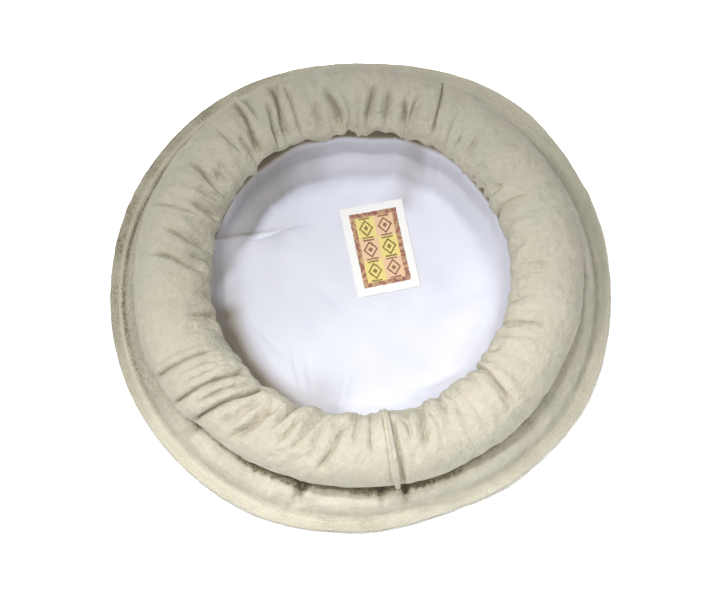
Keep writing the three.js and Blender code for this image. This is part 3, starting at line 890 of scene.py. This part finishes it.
def lining_face(bearing):
    """Reach and height of the lining's upper face, from its middle over the floor and up its
    wall to the roll, and its top. The floor takes the lift; the wall's foot comes in by the
    table, and its cloth is gathered."""
    low, high = (smooth_path(face, LINING_GRID[1]) for face in (LINING_FACE, LINING_HIGH))
    drawn_up = round_the_cap(LINING_ROUND, "high", bearing)
    reach, height = np.moveaxis(low + (high - low) * drawn_up[..., None], -1, 0)
    drawn_in = 0.8 * round_the_cap(ROLL_WAVES, "within", bearing) * drawn_up
    reach = reach - drawn_in * ease(height, 10, 34)
    top = height[:, -1:]
    lift = lining_lift(*x_and_y(bearing, reach)) * (1 - ease(reach, 70, 84))
    foot = round_the_cap(LINING_ROUND, "foot", bearing) * ease(reach, 50, 80)
    wall = ease(reach, 66, 84) * (1 - ease(height, top - 6, top - 1))
    moved = foot * (1 - ease(height, 12, 27)) + lining_gathers(bearing, reach) * wall
    return reach - moved, np.maximum(height + lift, LINING_FLOOR - LINING_SINKS), top


def tuck_shade(bearing, reach, height):
    """How dark the lining is on the far side of its tuck, by the wall most of all. On the wall
    the tuck turns towards the front as it climbs."""
    x, y = x_and_y(bearing, reach)
    across, share = segment_distance(x, y + 0.34 * (height - 5), LINING_TUCK)
    beyond = np.exp(-np.clip(across, 0, None) / 8) * ease(across, -0.8, 0.2)
    line = bell(across, 0.9) * (1 - 0.5 * ease(height, 8, 20))
    runs = between(share, -0.3, 0, 0.2, 0.85) * (1 - ease(height, 30, 44))
    return (0.3 * beyond + 0.45 * line) * runs


def lining_shade(bearing, reach, height, top):
    """Painted shade on the lining: on its wall and the floor by it, as the table says, in one
    spot, beyond its tuck and in its creases, and most of all where it goes in under the roll."""
    grey, low, high = (round_the_cap(LINING_ROUND, c, bearing) for c in ("grey", "low", "high"))
    uneven = 0.85 + 0.15 * waves(59, 16, (3, 14), (0, 1), bearing, 0)
    painted_shade = np.maximum(grey * ease(height, 7, 14), low * ease(reach, 62, 77)) * uneven
    x, y = x_and_y(bearing, reach)
    away = np.hypot(x - LINING_SPOT["x"], y - LINING_SPOT["y"])
    painted_shade = painted_shade + LINING_SPOT["shade"] * bell(away, LINING_SPOT["reach"])
    painted_shade = painted_shade + tuck_shade(bearing, reach, height)
    painted_shade = painted_shade + creases("shade", x, y, (-0.2, 0.1, 0.8, 1.2))
    # painted contact shadow where the lining goes in under the roll
    starts = top - 4.6 - 6 * (1 - high) - 1.1 * between(bearing, 66, 76, 104, 112)
    contact = 1.4 * ease(high, 0.3, 0.8) * ease(height, starts, starts + 3)
    return np.clip(painted_shade + contact, 0, 1.5)


def lining():
    bearing = round_bearings(LINING_GRID[0])
    reach, height, top = lining_face(bearing)
    upper = np.stack([reach, height], -1)
    under = sideways(upper[:, ::5], -COTTON)
    under[:, 0] = upper[:, 0] - [0, COTTON]
    under[:, -1] = sideways(upper, -COTTON)[:, -1]
    reach, height = np.moveaxis(np.concatenate([under, upper[:, ::-1]], 1), -1, 0)
    reach[:, [0, -1]] = 0
    painted_shade = lining_shade(bearing, reach, height, top)
    return cloth_skin("lining_cotton", turned(bearing, reach, height), poles=True, painted_shade=painted_shade)


# ------------------------------------------------------------------ the label

def label_patch():
    """A thin patch lying on the lining: a grid over its face, with edges turned down by a
    quarter round, and one over its underside."""
    wide, long = LABEL_SIZE
    u, v = np.meshgrid(np.linspace(0, 1, 61), np.linspace(0, 1, 89), indexing="ij")
    across, along = (u - 0.5) * wide, (v - 0.5) * long
    turn = math.radians(LABEL_TURN)
    x = LABEL_MIDDLE[0] + across * math.cos(turn) - along * math.sin(turn)
    y = LABEL_MIDDLE[1] + across * math.sin(turn) + along * math.cos(turn)
    to_edge = np.minimum(wide / 2 - np.abs(across), long / 2 - np.abs(along))
    bed = LINING_FLOOR + np.maximum(lining_lift(x, y), -LINING_SINKS)
    top = bed + LABEL_THICK * (0.35 + 0.65 * ease(to_edge, 0, 0.7)) + 0.35
    top += 0.12 * ease(to_edge, 0.5, 2.4) + 0.1 * ripples(61, 12, 10, 26, x, y)
    under = np.minimum(bed + 0.3, top - 0.15)
    faces = [np.stack([x, y, height], -1) for height in (top, under)]
    return shut_patch("label_patch", faces, np.stack([u, v], -1))


def shut_patch(name, faces, uv):
    """A closed slab between two grids of points, upper and lower, with the same outline."""
    top = np.arange(uv[..., 0].size).reshape(uv.shape[:2])
    base = top + top.size
    around = [top[:-1, :-1], top[1:, :-1], top[1:, 1:], top[:-1, 1:]]
    quads = [np.stack(around, -1), np.stack(around[:1] + around[:0:-1], -1) + top.size]
    for side in (np.s_[:, 0], np.s_[-1, :], np.s_[::-1, -1], np.s_[0, ::-1]):
        high, low = top[side], base[side]
        quads.append(np.stack([high[:-1], low[:-1], low[1:], high[1:]], -1))
    loops = np.concatenate([quad.ravel() for quad in quads])
    place = np.tile(uv.reshape(-1, 2), (2, 1))[loops]
    vertices = np.concatenate(faces).reshape(-1, 3)
    return mesh_piece(name, vertices, loops, np.arange(0, len(loops), 4), place)


# ------------------------------------------------------------------ finishes

def paint(*levels):
    """A colour of the screen, 0 to 255, as the shader's linear colour."""
    shares = [level / 255 for level in levels]
    linear = [s / 12.92 if s <= 0.04045 else ((s + 0.055) / 1.055) ** 2.4 for s in shares]
    return (*linear, 1.0)


# The colour that painted shade darkens the wool and the thread towards
WOOL_SHADE_PAINT = paint(136, 126, 98)


class Finish:
    """A material being put together: its nodes and a shader with the settings given."""

    def __init__(self, name, **settings):
        self.material = bpy.data.materials.new(name)
        self.material.use_nodes = True
        self.tree = self.material.node_tree
        self.shader = self.tree.nodes["Principled BSDF"]
        for socket, value in settings.items():
            self.shader.inputs[socket.replace("_", " ")].default_value = value

    def add(self, kind, inputs=None, **settings):
        """A node of that kind, its settings, and its inputs: sockets are linked, values set."""
        node = self.tree.nodes.new("ShaderNode" + kind)
        for setting, value in settings.items():
            setattr(node, setting, value)
        for socket, value in (inputs or {}).items():
            if isinstance(value, bpy.types.NodeSocket):
                self.tree.links.new(value, node.inputs[socket])
            else:
                node.inputs[socket].default_value = value
        return node

    def done(self, colour, normal=None):
        """The material, its shader given a colour and a normal."""
        for socket, value in (("Base Color", colour), ("Normal", normal)):
            if value is not None:
                self.tree.links.new(value, self.shader.inputs[socket])
        return self.material

    def place(self):
        """Where a point is on the object, in metres."""
        return self.add("TexCoord").outputs["Object"]

    def along_cloth(self):
        return self.add("UVMap", uv_map="cloth").outputs["UV"]

    # The painted shade of each point of the mesh
    def painted_shade(self):
        return self.add("Attribute", attribute_name="painted_shade").outputs["Fac"]

    def noise(self, where, scale, detail=3.0, rough=0.55, bend=0.0):
        """Cloudy noise, 0 to 1: scale is in clouds a metre."""
        return self.add("TexNoise", {
            "Vector": where, "Scale": scale, "Detail": detail, "Roughness": rough,
            "Distortion": bend,
        }).outputs["Fac"]

    def math(self, operation, first, second=0.0, third=0.0):
        return self.add("Math", {0: first, 1: second, 2: third}, operation=operation).outputs[0]

    def spread(self, value, low, high, to_low=0.0, to_high=1.0):
        """A value between low and high, taken to between to_low and to_high."""
        return self.add("MapRange", {
            "Value": value, "From Min": low, "From Max": high, "To Min": to_low, "To Max": to_high,
        }).outputs["Result"]

    def mix(self, share, first, second):
        return self.add("Mix", {0: share, 6: first, 7: second}, data_type="RGBA").outputs[2]

    def tint(self, tone, share, most, colour):
        """A tone mixed with a colour by a share times most."""
        return self.mix(self.math("MULTIPLY", share, most), tone, colour)

    def bump(self, height, depth, strength, under=None):
        """A bump whose full height is depth metres, over the bump before it."""
        inputs = {"Height": height, "Distance": depth, "Strength": strength}
        if under is not None:
            inputs["Normal"] = under
        return self.add("Bump", inputs).outputs["Normal"]

    def weave(self, where, pitch):
        """Threads over and under each other at that pitch: the product of two waves."""
        split = self.add("SeparateXYZ", {0: where}).outputs
        warp, weft = (
            self.math("SINE", self.math("MULTIPLY", split[k], 2 * math.pi / pitch)) for k in (0, 1)
        )
        return self.math("MULTIPLY_ADD", self.math("MULTIPLY", warp, weft), 0.5, 0.5)


def wool_finish(name, *colours):
    """Felted wool: clouds of two creams with a warmer cast here and there, flecks, matted
    fibres and a faint twill under the nap. Where shade is painted, the wool is painted darker
    in grains."""
    light, dark, warm = (paint(*colour) for colour in colours)
    finish = Finish(name, Roughness=0.92, Sheen_Weight=0.08, Sheen_Roughness=0.5)
    where = finish.place()
    clouds = finish.spread(finish.noise(where, 75.0, 6.0, 0.7), 0.36, 0.64)
    cast = finish.spread(finish.noise(where, 38.0, 2.0, 0.5), 0.44, 0.62)
    flecks = finish.spread(finish.noise(where, 950.0, 3.0, 0.7), 0.3, 0.75, -0.1, 0.6)
    mottle = finish.spread(finish.noise(where, 260.0, 4.0, 0.65), 0.42, 0.68)
    grains = finish.spread(finish.noise(where, 700.0, 3.0, 0.7), 0.38, 0.62, 0.45, 1.45)
    tone = finish.mix(clouds, dark, light)
    tone = finish.tint(tone, cast, 0.5, warm)
    tone = finish.tint(tone, mottle, 0.4, paint(190, 185, 162))
    tone = finish.tint(tone, flecks, 0.35, paint(238, 233, 217))
    # painted shade, darker in grains
    tone = finish.tint(tone, finish.painted_shade(), grains, WOOL_SHADE_PAINT)
    lumps = finish.noise(where, 100.0, 3.0, 0.5)
    mat = finish.noise(where, 230.0, 4.0, 0.6)
    twill = finish.weave(finish.along_cloth(), 0.0013)
    nap = finish.noise(where, 620.0, 5.0, 0.65, 0.8)
    normal = finish.bump(mat, 0.0014, 0.9, finish.bump(lumps, 0.0024, 0.8))
    normal = finish.bump(twill, 0.00012, 0.5, normal)
    return finish.done(tone, finish.bump(nap, 0.0005, 0.9, normal))


def thread_finish():
    """Twisted cotton thread: cream, uneven from stitch to stitch."""
    finish = Finish("sewing_thread", Roughness=0.72, Sheen_Weight=0.2)
    where = finish.place()
    tone = finish.spread(finish.noise(where, 260.0, 2.0), 0.3, 0.7)
    tone = finish.mix(tone, paint(203, 197, 178), paint(236, 232, 216))
    # painted shade, as on the wool
    tone = finish.mix(finish.painted_shade(), tone, WOOL_SHADE_PAINT)
    return finish.done(tone, finish.bump(finish.noise(where, 2600.0, 2.0), 0.0002, 0.6))


def cotton_finish():
    """Fine white lining cloth with a cool cast, a plain weave and a soft shine. Where shade is
    painted it is browner, and browner and darker still for the painted shadow where it goes in
    under the roll."""
    finish = Finish("lining_cloth", Roughness=0.68, Sheen_Weight=0.1)
    where = finish.place()
    tone = finish.spread(finish.noise(where, 24.0, 3.0), 0.3, 0.7)
    tone = finish.mix(tone, paint(219, 221, 232), paint(230, 231, 241))
    # painted shade, and a darker painted shadow where the lining goes in under the roll
    tone = finish.mix(finish.painted_shade(), tone, paint(126, 114, 92))
    tone = finish.mix(finish.spread(finish.painted_shade(), 1.0, 1.5), tone, paint(88, 80, 66))
    rumple = finish.bump(finish.noise(where, 95.0, 4.0, 0.5), 0.0008, 0.35)
    return finish.done(tone, finish.bump(finish.weave(where, 0.0007), 0.00006, 0.5, rumple))


def label_finish():
    """A printed label: a white margin, a mottled rose-brown frame, and a field of two by three
    cells, straw yellow and tan in turn, each with a lozenge, a ring and a bar across it."""
    finish = Finish("label_print", Roughness=0.7, Sheen_Weight=0.1)
    calc, where = finish.math, finish.place()
    split = finish.add("SeparateXYZ", {0: finish.along_cloth()}).outputs
    sway = calc("MULTIPLY", calc("SUBTRACT", finish.noise(where, 700.0, 2.0), 0.5), 1.1)
    border = LABEL_MARGIN + LABEL_FRAME
    insets, cells, offsets = [], [], []
    for axis, size, count in ((0, LABEL_SIZE[0], 2), (1, LABEL_SIZE[1], 3)):
        along = calc("ADD", calc("MULTIPLY", split[axis], size), sway)
        cell = calc("MULTIPLY", calc("SUBTRACT", along, border), count / (size - 2 * border))
        insets.append(calc("MINIMUM", along, calc("SUBTRACT", size, along)))
        cells.append(calc("FLOOR", cell))
        offsets.append(calc("ABSOLUTE", calc("SUBTRACT", calc("FRACT", cell), 0.5)))
    inset = calc("MINIMUM", *insets)
    odd = calc("MODULO", calc("ADD", *cells), 2.0)
    field = finish.mix(odd, paint(238, 218, 136), paint(236, 200, 160))
    ink = finish.mix(odd, paint(104, 92, 30), paint(120, 66, 52))
    away = calc("ADD", *offsets)
    ring = calc("COMPARE", away, 0.34, 0.055)
    bead = calc("LESS_THAN", away, 0.13)
    bar = calc("MULTIPLY", calc("COMPARE", offsets[1], 0.44, 0.035),
               calc("LESS_THAN", offsets[0], 0.3))
    drawn = calc("MINIMUM", calc("ADD", calc("ADD", ring, bead), bar), 1.0)
    field = finish.tint(field, drawn, 0.85, ink)
    mottle = finish.spread(finish.noise(where, 420.0, 3.0), 0.4, 0.6)
    tone = finish.mix(mottle, paint(150, 96, 84), paint(205, 168, 128))
    tone = finish.mix(calc("GREATER_THAN", inset, border), tone, field)
    tone = finish.mix(calc("GREATER_THAN", inset, LABEL_MARGIN), paint(247, 246, 243), tone)
    ribs = calc("SINE", calc("MULTIPLY", along, 2 * math.pi / 0.55))
    normal = finish.bump(finish.noise(where, 900.0, 2.0), 0.0002, 0.4)
    return finish.done(tone, finish.bump(ribs, 0.00004, 0.4, normal))


def floor_finish():
    """Smooth white paper with the faintest cloud in it. It gives the cap back less light than
    paper would."""
    finish = Finish("paper_floor", Roughness=0.9)
    tone = finish.noise(finish.place(), 2.0, 1.0)
    paper = finish.mix(tone, paint(250, 250, 250), paint(253, 253, 253))
    bounced = finish.add("LightPath").outputs["Is Diffuse Ray"]
    return finish.done(finish.mix(bounced, paper, paint(208, 208, 208)))


# ------------------------------------------------------------------ the cap, put together

def finished(piece, material, slot, *nodes):
    """Gives a piece its finish and its place on the cap's one body. Slot is not used."""
    piece.data.materials.append(material)
    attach(piece, "root")
    if nodes:
        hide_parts(*nodes)
    return piece


wool = wool_finish("cream_wool", (214, 209, 191), (203, 199, 178), (214, 203, 184))
# The rim and the side wall take lighter copies of the cream wool
rim_wool = wool_finish("rim_wool", (229, 225, 206), (216, 212, 192), (225, 217, 198))
wall_wool = wool_finish("wall_wool", (228, 223, 205), (216, 212, 192), (226, 216, 198))
thread = thread_finish()

roll = finished(rolled_brim(), wool, "wool", "rolled_brim")
rim = finished(stitched_rim(), rim_wool, "stitched_wool", "stitched_rim")
top_thread = finished(rim_stitches("rim_stitches_top", 1, 71), thread, "stitched_wool")
under_thread = finished(rim_stitches("rim_stitches_under", -1, 72), thread, "stitched_wool")
wall = finished(side_wall(), wall_wool, "wool", "side_wall")
crown = finished(crown_top(), wool, "wool", "crown_top")
lining_cloth = finished(lining(), cotton_finish(), "lining_cotton", "lining")
label = finished(label_patch(), label_finish(), "label_cloth", "label")


# ------------------------------------------------------------------ floor, light and camera

LAMP_DISTANCE = 1.3  # metres
FLOOR_HALF = 3.0
FLOOR_BELOW = 0.0003  # how far the floor lies below the cap


def studio_floor():
    mesh = bpy.data.meshes.new("floor")
    corners = [(-1, -1), (1, -1), (1, 1), (-1, 1)]
    mesh.from_pydata([(FLOOR_HALF * x, FLOOR_HALF * y, 0) for x, y in corners], [], [range(4)])
    floor = bpy.data.objects.new("floor", mesh)
    floor.location.z = -FLOOR_BELOW
    bpy.context.scene.collection.objects.link(floor)
    mesh.materials.append(floor_finish())
    floor_light(floor)


def aim(thing, place, target):
    """Puts a light or camera at a place, looking at a target."""
    thing.location = place
    way = Vector(target) - Vector(place)
    thing.rotation_euler = way.to_track_quat("-Z", "Y").to_euler()
    bpy.context.scene.collection.objects.link(thing)


def place_at(bearing, elevation, distance):
    """A place at that distance, in a direction given in degrees."""
    up = math.radians(elevation)
    return turned(bearing, distance * math.cos(up), distance * math.sin(up))


def spot(name, bearing, elevation, power, cone, target):
    """A small round lamp high up, whose beam has a soft edge."""
    lamp = bpy.data.lights.new(name, "SPOT")
    lamp.energy, lamp.shadow_soft_size = power, 0.06
    lamp.spot_size, lamp.spot_blend = math.radians(cone), 1.0
    aim(bpy.data.objects.new(name, lamp), place_at(bearing, elevation, LAMP_DISTANCE), target)


def floor_light(floor):
    """Wide light from above for the floor alone, so that it stays evenly pale."""
    lamp = bpy.data.lights.new("floor_light", "AREA")
    lamp.size, lamp.energy = 2.0, 60.0
    lit = bpy.data.objects.new("floor_light", lamp)
    aim(lit, (0, 0.3, 2), (0, 0, 0))
    only = bpy.data.collections.new("lit_floor")
    only.objects.link(floor)
    lit.light_linking.receiver_collection = only


def camera(elevation, distance, lens, target):
    """A camera in front of the cap, that far from the target and that high over it."""
    eye = bpy.data.cameras.new("camera")
    eye.lens, eye.clip_start = lens, 0.01
    seen = bpy.data.objects.new("camera", eye)
    aim(seen, place_at(270, elevation, distance) + target, target)
    bpy.context.scene.camera = seen


def daylight(strength):
    world = bpy.data.worlds.new("daylight")
    world.use_nodes = True
    backdrop = world.node_tree.nodes["Background"]
    backdrop.inputs["Color"].default_value = (0.96, 0.98, 1.0, 1.0)
    backdrop.inputs["Strength"].default_value = strength
    bpy.context.scene.world = world


studio_floor()
spot("left_lamp", 178, 74, 11.6, 60, (0, 0, 0.03))
spot("top_lamp", 270, 88, 15.5, 60, (0, 0, 0.03))
spot("side_lamp", 180, 42, 2.4, 14, (-0.125, 0, 0.03))
spot("left_beam", 180, 69, 18.0, 22, (0.03, -0.18, 0.03))
spot("front_beam", 225, 70, 19.0, 32, (0.05, -0.15, 0.03))
spot("right_beam", 292, 64, 12.5, 28, (0.06, -0.19, 0.01))
daylight(strength=0.21)
camera(elevation=71, distance=4.5, lens=391.94, target=(0, 0, 0.006))
bpy.context.scene.view_settings.view_transform = "Standard"
